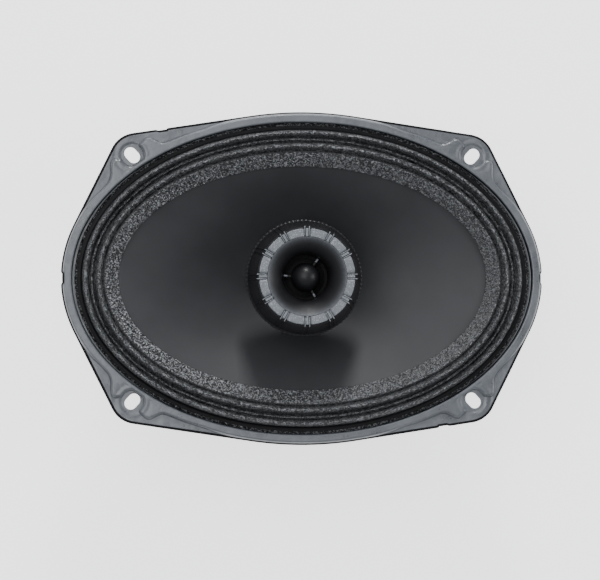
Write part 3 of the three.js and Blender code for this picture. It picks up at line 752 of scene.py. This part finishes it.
def snap_to_window(turn, z):
    """Which points of the wall lie in a window, and the nearest points of its outline."""
    middle = np.round(turn / (TAU / 8)) * (TAU / 8)
    width, level = (SHELF_OUTER + BOWL_R) / 2, (WINDOW_LOW + WINDOW_HIGH) / 2
    u, v = (turn - middle) * width, z - level
    half = np.array([WINDOW_HALF * width, (WINDOW_HIGH - WINDOW_LOW) / 2])
    au, av = np.abs(u), np.abs(v)
    qu, qv = au - (half[0] - WINDOW_CORNER), av - (half[1] - WINDOW_CORNER)
    corner = (qu > 0) & (qv > 0)
    reach = np.hypot(qu, qv)
    inside = (au < half[0]) & (av < half[1]) & (~corner | (reach < WINDOW_CORNER))
    side = half[0] - au < half[1] - av
    pull = 1 / np.maximum(reach, 1e-9) * WINDOW_CORNER
    nu = np.where(corner, au - qu + qu * pull, np.where(side, half[0], au))
    nv = np.where(corner, av - qv + qv * pull, np.where(side, av, half[1]))
    return inside, middle + np.sign(u) * nu / width, level + np.sign(v) * nv


def snap_to_slot(xy):
    """Which places lie in a screw slot, and the nearest places of its outline."""
    inside = np.zeros(len(xy), bool)
    out = xy.copy()
    for sx, sy in QUADRANTS:
        tilt = sx * sy * SLOT_TILT
        turn = np.array([[math.cos(tilt), math.sin(tilt)], [-math.sin(tilt), math.cos(tilt)]])
        local = (xy - (sx * SLOT_X, sy * SLOT_Y)) @ turn.T
        reach = (SLOT_LENGTH - SLOT_WIDTH) / 2
        spine = np.stack([np.clip(local[:, 0], -reach, reach), 0 * local[:, 1]], -1)
        off = local - spine
        length = norm(off, axis=1)
        here = length < SLOT_WIDTH / 2
        edge = spine + off / np.maximum(length, 1e-6)[:, None] * SLOT_WIDTH / 2
        out[here] = (edge @ turn)[here] + (sx * SLOT_X, sy * SLOT_Y)
        inside |= here
    return inside, out


def punch(faces, inside):
    """Drops the faces that lie in a hole; gives the rest and the points to move to its edge."""
    kept = faces[~inside[faces].all(1)]
    moved = np.zeros(len(inside), bool)
    moved[kept.ravel()] = True
    return kept, moved & inside


def pressed_basket():
    turn = basket_turns(960)
    columns = len(turn)
    middle_seat = SEAT_Z + SHEET / 2
    middle_flange = FLANGE_Z - SHEET / 2
    bowl = resample(fillet([
        (24.0, middle_seat), (45.5, middle_seat, 2.0), (SHELF_INNER, SHELF_Z, 1.6),
        (SHELF_OUTER, SHELF_Z, 2.0), (BOWL_R, BOWL_Z, 6.0), (74.0, GASKET_Z, 1.4), (LIP_R, GASKET_Z, 1.1),
        (LIP_R, middle_flange, 0.25), (PLATE_START, middle_flange)], closed=False, steps=6), 0.8)
    edge = notched(outline_radius(turn), turn)
    r = np.repeat(bowl[:, :1], columns, 1)
    z = np.repeat(bowl[:, 1:], columns, 1)
    bend_r = 1.0
    flat_to = edge - SHEET / 2 - bend_r
    flat = PLATE_START + (flat_to - PLATE_START) * np.linspace(0, 1, 45)[1:, None]
    bend = np.radians([12, 25, 40, 55, 70, 82, 90])[:, None]
    r = np.vstack([r, flat, flat_to + bend_r * np.sin(bend)])
    bend_z = middle_flange - bend_r * (1 - np.cos(bend)) + 0 * edge
    z = np.vstack([z, np.full_like(flat, middle_flange), bend_z])
    rows = len(r)
    r, z, turn = r.ravel(), z.ravel(), np.tile(turn, rows)

    # Windows in the wall.
    wall = (z > SHELF_Z + 2) & (z < BOWL_Z - 1) & (r < BOWL_R)
    inside, new_turn, new_z = snap_to_window(turn, z)
    faces, moved = punch(grid_faces(rows, columns), inside & wall)
    turn[moved] = new_turn[moved]
    z[moved] = new_z[moved]
    r[moved] = SHELF_OUTER + (new_z[moved] - SHELF_Z) * WALL_SLOPE

    # Beads pressed into the spokes between the windows.
    spoke = np.abs((turn / (TAU / 8)) % 1 - 0.5) * (TAU / 8) * r
    along = smooth(z, 44, 48) * (1 - smooth(z, 60, 64)) * wall
    points = oval(r + 0.9 * np.exp(-(spoke / 2.2) ** 4) * along, turn, z, SHELF_OUTER, BOWL_R)

    # Flange: screw slots, then its pressed levels.
    inside, slot_edge = snap_to_slot(points[:, :2])
    faces, moved = punch(faces, inside)
    points[moved, :2] = slot_edge[moved]
    start = len(bowl) * columns
    points[start:, 2] += flange_height(points[start:, :2]) - middle_flange

    # Turned-down edge.
    last = points[-columns:]
    foot = last * (1, 1, 0) + (0, 0, MOUNT_Z)
    skirt = [last + (foot - last) * share for share in (0.12, 0.5, 0.88, 1.0)]
    points = np.vstack([points, *skirt])
    faces = np.vstack([faces, grid_faces(len(skirt) + 1, columns) + (rows - 1) * columns])
    used, index = np.unique(faces, return_inverse=True)
    obj = piece("basket_pressing", points[used], index.reshape(-1, 4), "painted_steel", node="basket")

    # Near-black paint round the outer edge and on the wall under the lip: painted shade on the turned-down
    # edge and in the lip's corner.
    obj.data.materials.append(LOOKS["painted_edge_shade"])
    level = points[faces][:, :, 2]
    on_wall = (level.max(1) < middle_flange - 0.2) & (level.min(1) > GASKET_Z + 0.3)
    lip_wall = on_wall & (faces.max(1) < start + columns)
    painted_shade_faces = (faces.min(1) >= (rows - len(bend)) * columns) | lip_wall
    obj.data.polygons.foreach_set("material_index", painted_shade_faces.astype(np.int32))
    sheet = obj.modifiers.new("sheet", "SOLIDIFY")
    sheet.thickness = SHEET * MM
    sheet.offset = 0.0


pressed_basket()

# ---- cone, surround and spider ----


def cone_height(r):
    share = (r - CONE_NECK) / (CONE_EDGE - CONE_NECK)
    return CONE_NECK_Z + (CONE_EDGE_Z - CONE_NECK_Z) * (1.25 * share - 0.25 * share * share)


END_STEPS = 4


def walled(line, wall):
    """Closes a centre line into a profile with that wall and round ends."""
    run = np.gradient(line, axis=0)
    run /= norm(run, axis=1)[:, None]
    side = np.stack([run[:, 1], -run[:, 0]], -1) * wall / 2
    turn = np.linspace(0, math.pi, END_STEPS + 2)[1:-1, None]
    far = line[-1] + side[-1] * np.cos(turn) + run[-1] * wall / 2 * np.sin(turn)
    near = line[0] - side[0] * np.cos(turn) - run[0] * wall / 2 * np.sin(turn)
    return np.vstack([line + side, far, (line - side)[::-1], near])


PAST_EDGE = 130.0          # more than any half-width


def make_radial_blend(obj, still_r, moving_r, shape_from):
    """Bakes a ring of cloth's placement into its mesh and finds the half-width of each of its points on the
    oval.
    """
    start = shape_from(np.array(still_r), np.array(-math.pi / 2), np.array(0.0)) * MM
    end = shape_from(np.array(moving_r), np.array(-math.pi / 2), np.array(0.0)) * MM
    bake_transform(obj)
    x, y, _ = np.array([vert.co for vert in obj.data.vertices], float).T / MM
    # Half-width of each point, from its place on the oval.
    low, high = 0 * x, 0 * x + PAST_EDGE
    for _ in range(40):
        r = (low + high) / 2
        reach = norm(shape_from(r, 0 * r, 0 * r), axis=-1)
        outside = (x / np.maximum(reach, 1e-9)) ** 2 + (y / np.maximum(r, 1e-9)) ** 2 > 1
        low, high = np.where(outside, r, low), np.where(outside, high, r)


FOOT_R = 73.2              # where the surround's foot starts


def cone_and_suspension():
    r = np.linspace(CONE_NECK, CONE_EDGE, 48)
    line = np.vstack([[CONE_NECK - 0.5, CONE_NECK_Z - 2.4], np.stack([r, cone_height(r)], -1)])
    turned("cone_body", walled(line, 0.7), "cone_skin", "cone", "cone", 480, shape=cone_shape)

    lift = 0.95
    points = [(k, cone_height(k) + lift) for k in (55.6, 57.5, 59.5, 61.4)]
    points += [(62.1, 79.9), (62.7, 78.7), (63.2, 78.4), (63.75, 79.2), (64.3, 80.8), (64.9, 81.7),
               (65.4, 81.85), (65.9, 81.6), (66.5, 80.6), (67.0, 78.4), (67.65, 77.0), (68.1, 77.6),
               (68.4, 78.4), (68.8, 78.75), (69.2, 78.4), (69.55, 77.6), (70.0, 77.0), (70.5, 78.5),
               (70.9, 80.5), (71.35, 81.4), (71.8, 81.8), (72.25, 81.5), (72.8, 80.4), (73.3, 78.2),
               (73.8, 76.3), (74.5, 75.85), (75.5, 75.8), (76.2, 75.8), (76.8, 75.8)]
    line = resample(smooth_path(points, 12), 0.22)
    cloth = turned("surround_cloth", walled(line, 0.5), "black_cloth", node="surround", segments=720,
                   shape=cone_shape, blended=True)
    # The foot in the corner under the lip takes the black glue look: the glue that holds it, and painted
    # shade in the deep valley there.
    repaint(cloth, "glue", lambda at, _: at.z < FLANGE_Z and (
        at.x / (FOOT_R + CONE_EXTRA)) ** 2 + (at.y / FOOT_R) ** 2 > 1)
    make_radial_blend(cloth, 75.0, 62.6, cone_shape)

    # The bead of adhesive along the surround's edge, in the corner under the lip.
    turned("surround_adhesive", fillet([
        (75.7, 76.1, 0.05), (77.1, 76.1, 0.02), (77.1, 77.3, 0.2), (76.5, 76.6, 0.4)]),
        "coated_glue", segments=480, shape=cone_shape)

    r = np.linspace(18.0, 48.0, 181)
    wave = 42.4 + 1.15 * np.sin((r - 18.0) * TAU / 5.0) * smooth(r, 18.0, 20.0)
    line = np.vstack([
        fillet([(16.0, 44.2), (16.0, 42.4, 0.8), (18.0, 42.4)], closed=False, support=0.0),
        np.stack([r, wave], -1)[1:],
        [[49.6, 41.7], [51.0, 41.7], [53.0, 41.7], [55.5, 41.7]],
    ])
    cloth = turned("spider_cloth", walled(line, 0.5), "amber_cloth", node="spider", segments=240,
                   blended=True)
    make_radial_blend(cloth, 47.0, 19.0, round_shape)

    turned("former_tube", fillet([(15.0, 17.6), (15.4, 17.6), (15.4, 50.0), (15.0, 50.0)], 0.1),
           "kapton", "cone", "voice_coil_former", 120)
    turned("winding_coil", fillet([(15.6, 18.4), (16.3, 18.4), (16.3, 32.4), (15.6, 32.4)], 0.2),
           "copper", "cone", "voice_coil_winding", 120)

    for name, side in (("positive", 1), ("negative", -1)):
        path = smooth_path([(side * 8.5, -15.2, 46.0), (side * 10, -22, 46.6), (side * 11.5, -33, 50.5),
                            (side * 12.6, -45, 51.5), (side * 13, -55, 49.4), (side * 13, -63.8, 48.8)], 16)
        lead = piece(f"tinsel_braid_{name}", *strands(path, 0.7, 4, 5.0), "tinsel_braid",
                     node=f"tinsel_lead_{name}", blended=True)
        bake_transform(lead)


cone_and_suspension()

# ---- magnet stack ----


def drill(obj, path, r, sides=24):
    """Takes a round rod along a path out of a piece for good."""
    rod = mesh_object("cutter", *wire(np.array(path, float), r, sides))
    knife = obj.modifiers.new("cut", "BOOLEAN")
    knife.operation, knife.solver, knife.object = "DIFFERENCE", "EXACT", rod
    mesh = bpy.data.meshes.new_from_object(obj.evaluated_get(bpy.context.evaluated_depsgraph_get()))
    obj.modifiers.remove(knife)
    obj.data = mesh
    mesh.shade_smooth()
    mesh.set_sharp_from_angle(angle=math.radians(40))
    bpy.data.objects.remove(rod)


def magnet_stack():
    plate = turned("back_plate_turned", fillet([
        (10.0, 0, 0.4), (44.0, 0, 1.0), (44.0, 6.0, 0.3), (14.3, 6.0, 0.3), (14.3, 28.6, 1.0),
        (4.8, 28.6, 0.2), (4.8, 11.6, 0.2), (10.0, 11.6, 0.2)]),
        "plated_steel", node="back_plate_with_pole", segments=160)
    drill(plate, [(0, -9, 0.6), (0, -46, 0.6)], 2.6)
    turned("ferrite_ring", fillet([
        (21.0, 6.2, 0.5), (50.0, 6.2, 1.4), (50.0, 22.2, 1.4), (21.0, 22.2, 0.5)], steps=5),
        "ferrite", node="ferrite_magnet", segments=160)
    turned("top_plate_turned", fillet([
        (17.1, 22.4, 0.2), (44.0, 22.4, 0.5), (44.0, 28.4, 0.8), (17.1, 28.4, 0.2)]),
        "plated_steel", node="top_plate", segments=160)
    for i in range(4):
        turn = math.pi * (0.25 + 0.5 * i)
        turned(f"basket_rivet_head_{i + 1}", fillet([
            (0, 22.8), (1.9, 22.8, 0.1), (1.9, 30.0, 0.05), (3.4, 30.0, 0.15), (3.4, 30.5, 0.25),
            (2.6, 31.3, 0.8), (1.2, 31.8, 1.0), (0, 31.9)], closed=False), "plated_steel",
            node=f"basket_rivet_{i + 1}", segments=32, closed=False,
            at=(36 * math.cos(turn), 36 * math.sin(turn), 0))
    # The bead of adhesive that squeezes out between the magnet and each plate.
    for name, z in (("rear", 6.1), ("front", 22.3)):
        def uneven(r, turn, level):
            swell = 0.16 * np.sin(turn * 5 + z) + 0.12 * np.sin(turn * 13 + 1.7 * z)
            return round_shape(r + (r > 44.1) * (swell + 0.08 * np.sin(turn * 31)), turn, level)

        turned(f"adhesive_bead_{name}", fillet([
            (43.6, z - 0.09, 0.02), (44.9, z - 0.09, 0.04), (44.9, z + 0.09, 0.04), (43.6, z + 0.09, 0.02)]),
            "glue", segments=240, shape=uneven)


magnet_stack()

# ---- tweeter ----

GROUPS = 12


def grouped_turns(per_group_dense, per_group_sparse, dense_half):
    """Angles that crowd round each of the twelve rib groups."""
    out = []
    for k in range(GROUPS):
        middle = k * TAU / GROUPS
        dense = np.linspace(-dense_half, dense_half, per_group_dense, endpoint=False)
        sparse = np.linspace(dense_half, TAU / GROUPS - dense_half, per_group_sparse, endpoint=False)
        out += [middle + dense, middle + sparse]
    return np.concatenate(out)


RIB_OFFSET = 1.12
RING_MIDDLE_R = 21.3


def ring_shape(r, turn, z):
    """Cuts the pairs of narrow radial slots into the trim ring."""
    step = TAU / GROUPS
    from_group = ((turn + step / 2) % step - step / 2) * RING_MIDDLE_R
    off = np.abs(np.abs(from_group) - RIB_OFFSET)
    slot = 1.0 / (1 + np.exp((off - 0.47) / 0.04))
    face = smooth(z, 98.9, 99.3)
    return round_shape(r - slot * (r > 23.2) * 0.7, turn, z - slot * face)


RIM_TEETH = 84


def cup_shape(r, turn, z):
    """Cuts small teeth into the rim of the cup's base."""
    notch = smooth(np.cos(turn * RIM_TEETH), 0.1, 0.5)
    rim = np.exp(-((z - 82.4) / 0.5) ** 2) * (r > 27.9)
    return round_shape(r - 0.3 * notch * rim, turn, z - 0.25 * notch * rim)


def cooling_fins():
    """Pairs of thin fins that stand in the trim ring's slots and run down the cup's side."""
    outline = np.array([
        (20.1, 98.45), (20.0, 99.62), (20.3, 99.8), (24.2, 99.8), (24.6, 99.45), (24.65, 97.6), (28.05, 84.8),
        (28.0, 83.6), (27.4, 83.6), (23.8, 97.4), (23.7, 98.45)])
    verts, faces = [], []
    for k in range(2 * GROUPS):
        turn = (k // 2) * TAU / GROUPS
        c, s = math.cos(turn), math.sin(turn)
        middle = RIB_OFFSET if k % 2 else -RIB_OFFSET
        for across, inset in ((-0.24, 0.02), (-0.17, 0.0), (0.17, 0.0), (0.24, 0.02)):
            v = middle + across
            for u, z in outline + (outline.mean(0) - outline) * inset:
                verts.append((u * c - v * s, u * s + v * c, z))
        count, base = len(outline), k * 4 * len(outline)
        faces += (grid_faces(4, count)[:, [0, 3, 2, 1]] + base).tolist()
        faces.append([base + i for i in range(count)])
        faces.append([base + 3 * count + i for i in range(count)][::-1])
    obj = piece("tweeter_fins", verts, faces, "dark_plastic")
    # The fins' upward faces at the top take the trim ring's light grey: painted light on their lit tips.
    repaint(obj, "ring_plastic", lambda at, normal: at.z > 98.5 and abs(normal.z) > 0.3)
    obj.data.set_sharp_from_angle(angle=math.radians(40))


VANE_TURN = math.radians(175.6)


def tweeter():
    turned("tweeter_post_turned", fillet([
        (2.6, 6.2, 0.1), (4.5, 6.2, 0.3), (4.5, 28.8, 0.1), (8.5, 28.8, 0.3), (8.5, 30.8, 0.5),
        (5.6, 32.6, 1.5), (5.6, 68.0, 1.5), (8.5, 69.6, 0.4), (8.5, 71.8, 0.2), (4.5, 71.8, 0.1),
        (4.5, 73.8, 0.3), (2.6, 73.8, 0.1)]), "dark_plastic", node="tweeter_post", segments=64)

    cooling_fins()
    cup = resample(fillet([
        (4.8, 72.0, 0.1), (14.5, 72.0, 0.6), (27.2, 79.8, 1.0), (28.8, 81.2, 0.5), (28.8, 82.3, 0.15),
        (28.0, 82.9, 0.15), (24.1, 98.0, 0.3), (22.5, 98.0, 0.2), (26.4, 84.6, 0.5), (16.0, 83.2, 0.2),
        (12.7, 83.2, 0.2), (12.7, 74.0, 0.3), (4.8, 74.0, 0.1)]), 1.2, closed=True)
    body = turned("tweeter_cup_moulded", cup, "dark_plastic", node="tweeter_cup", segments=840,
                  shape=cup_shape)
    repaint(body, "rim_plastic", lambda at, _: math.hypot(at.x, at.y) > 27.7 and 81.6 < at.z < 83.0)

    ring = resample(fillet([(19.5, 98.3, 0.1), (23.5, 98.3, 0.15), (23.5, 100, 0.35), (19.5, 100, 0.35)],
                           steps=6), 0.3, closed=True)
    turned("trim_ring_grooved", ring, "ring_plastic", node="tweeter_trim_ring",
           turns=grouped_turns(60, 8, math.radians(4.4)), shape=ring_shape)

    share = np.linspace(1, 0, 40)
    flare = [(11.2 + 8.05 * s ** 2.3, 88.3 + 11.45 * s, 0) for s in share]
    horn = fillet([
        (14.4, 88.3, 0.1), (15.2, 90.0, 0.2), (16.4, 95.0, 1.0), (20.3, 96.6, 0.3), (22.1, 96.6, 0.2),
        (22.1, 98.0, 0.1), (19.42, 98.0, 0.1), (19.42, 99.75, 0.08), *flare])
    turned("horn_flare", horn, "horn_plastic", node="tweeter_horn", segments=160)

    nose = [(7.2 * math.cos(t), 88.2 + 8.3 * math.sin(t), 0) for t in np.linspace(0, math.pi / 2, 24)]
    nose[-1] = (0, 96.5, 0)
    plug = fillet([(0, 87.5), (5.2, 87.5, 0.2), (6.8, 87.8, 0.15), *nose], closed=False)
    bullet = turned("phase_plug_bullet", plug, "gloss_black", node="phase_plug", closed=False)
    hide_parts("phase_plug")
    turned("phase_plug_ring", fillet([
        (12.3, 84.3, 0.1), (14.8, 84.3, 0.1), (14.8, 88.0, 0.1), (12.3, 88.0, 0.2)]), "dark_plastic")
    vane = [(5.6, 87.0), (12.6, 87.0), (12.6, 87.9), (11.0, 88.3), (10.6, 89.2), (5.6, 89.2)]
    # Light grey pads on the vanes' tops: painted glints where the vanes catch the light in the dark throat.
    glint_outline = [(8.7, 89.1), (11.0, 89.1), (10.8, 89.8), (8.9, 90.2)]
    for k in range(3):
        turn = Matrix.Rotation(VANE_TURN + k * TAU / 3, 4, "Z")
        for name, outline, slot, bevel in (
                ("vane", vane, "dark_plastic", 0.15), ("vane_painted_glint", glint_outline, "ring_plastic", 0.3)):
            obj = prism(f"phase_plug_{name}_{k + 1}", outline, -0.5, 0.5, slot, axis="y", bevel=bevel)
            obj.data.transform(turn)

    share = np.linspace(0, 1, 16)
    line = np.vstack([
        np.stack([9.6 * share, 84.4 + 2.5 * (1 - share * share)], -1),
        [(10.0, 84.25), (10.4, 84.3), (10.9, 84.6), (11.2, 84.7), (11.5, 84.3), (11.8, 83.8), (13.0, 83.8),
         (14.2, 83.8)]])
    profile = walled(line, 0.16)[:-END_STEPS]
    profile[0][0] = profile[-1][0] = 0.0
    turned("tweeter_dome_film", profile, "dome_film", "tweeter_dome", "tweeter_diaphragm", closed=False)

    turned("post_washer_turned", fillet([
        (4.8, 10.6, 0.1), (9.0, 10.6, 0.15), (9.0, 11.4, 0.15), (4.8, 11.4, 0.1)]),
        "plated_steel", node="post_washer", segments=64)
    hexagon = [(7.5 * math.cos(k * TAU / 6), 7.5 * math.sin(k * TAU / 6)) for k in range(6)]
    nut = prism("post_nut_chamfered", hexagon, 7.2, 10.4, "plated_steel", node="post_nut", bevel=0.35)
    drill(nut, [(0, 0, 5), (0, 0, 13)], 4.7, 48)

    for name, side in (("positive", 1), ("negative", -1)):
        a = side * 1.15
        path = smooth_path([
            (a, 0, 73.4), (a, 0, 50), (a, 0, 25), (a, 0, 9), (a, 0, 4.6), (a, -0.8, 2.4), (a, -4, 1.6),
            (a, -20, 1.6), (a, -44, 1.6), (a, -49.4, 2.0), (a, -51.7, 4.2), (a, -52, 8), (a, -52, 14),
            (a * 1.1, -52.05, 18), (side * 2.6, -52.4, 22.4), (side * 7, -53.8, 26.4),
            (side * 11.2, -57.2, 28.5), (side * 12.6, -61.4, 29)], 10)
        piece(f"tweeter_wire_{name}", *wire(path, 0.6), ("red" if side > 0 else "black") + "_sleeve",
              node=f"tweeter_lead_{name}")


tweeter()

# ---- terminals ----


def terminals():
    half, y, root, low = 9.0, -61.6, -52.0, 29.0
    under = SHELF_Z - SHEET / 2
    prism("terminal_bracket", [
        (root, under - 0.05), (root, under - SHEET), (y + SHEET, under - SHEET), (y + SHEET, low), (y, low),
        (y, under - 0.05)], -half, half, "painted_steel", axis="x", bevel=0.3)
    outline = [(-16, 26), (16, 26), (18, 28), (18, 44), (16, 46), (-16, 46), (-18, 44), (-18, 28)]
    prism("fibre_terminal_board", outline, BOARD_FRONT, BOARD_BACK, "board_fibre", node="terminal_board",
          axis="y", bevel=0.2)
    for name, x, width in (("positive", 13.0, 6.3), ("negative", -13.0, 4.8)):
        face, outer = -64.1, -64.9
        side = [(face, 33.0), (face, 51.0), (outer, 51.0), (outer, 33.8), (-73.6, 33.8), (-74.9, 33.55),
                (-74.9, 33.25), (-73.6, 33.0)]
        blade = prism(f"blade_{name}", side, x - width / 2, x + width / 2, "brass", f"terminal_{name}",
                      "x", 0.12)
        drill(blade, [(x, -71.2, 30), (x, -71.2, 36)], 0.9)
    for i, side in enumerate((-1, 1)):
        turned(f"board_rivet_head_{i + 1}", fillet([
            (0, -1.4), (1.6, -1.3, 0.5), (2.6, -0.6, 0.3), (2.6, 0, 0.1), (1.4, 0, 0.05), (1.4, 3.9, 0.05),
            (2.2, 3.9, 0.1), (2.2, 4.5, 0.2), (1.4, 5.0, 0.3), (0, 5.0)], closed=False),
            "plated_steel", node=f"board_rivet_{i + 1}", segments=32, closed=False,
            at=(side * 4.5, -64.1, 31.0), axis="y")
    turned("capacitor_can", fillet([
        (0, -6.5), (3.0, -6.5, 0.3), (3.3, -6.2, 0.2), (3.5, -6.5, 0.2), (4.0, -6.0, 0.4), (4.0, 4.4, 0.2),
        (3.65, 4.8, 0.3), (4.0, 5.2, 0.2), (4.0, 6.1, 0.4), (3.5, 6.5, 0.2), (0, 6.5)], closed=False),
        "capacitor_sleeve", node="crossover_capacitor", segments=48, closed=False,
        at=(0, -68.1, 39.5), axis="x")
    for i, side in enumerate((-1, 1)):
        start = side * 6.7
        path = smooth_path([(start, -68.1, 39.5), (start + side * 1.2, -67.9, 39.5),
                            (start + side * 1.9, -67.0, 39.5), (start + side * 2, -64.2, 39.5)], 8)
        piece(f"capacitor_wire_{i + 1}", *wire(path, 0.35), "plated_steel", node=f"capacitor_leg_{i + 1}")


terminals()

# ---- the CAD nodes that are carried over, all inside the tweeter ----

for node, look in (("tweeter_yoke", "plated_steel"), ("tweeter_magnet", "neodymium"),
                   ("tweeter_top_plate", "plated_steel"), ("tweeter_voice_coil", "copper")):
    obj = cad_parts[node]
    obj.data.materials.clear()
    obj.data.materials.append(LOOKS[look])
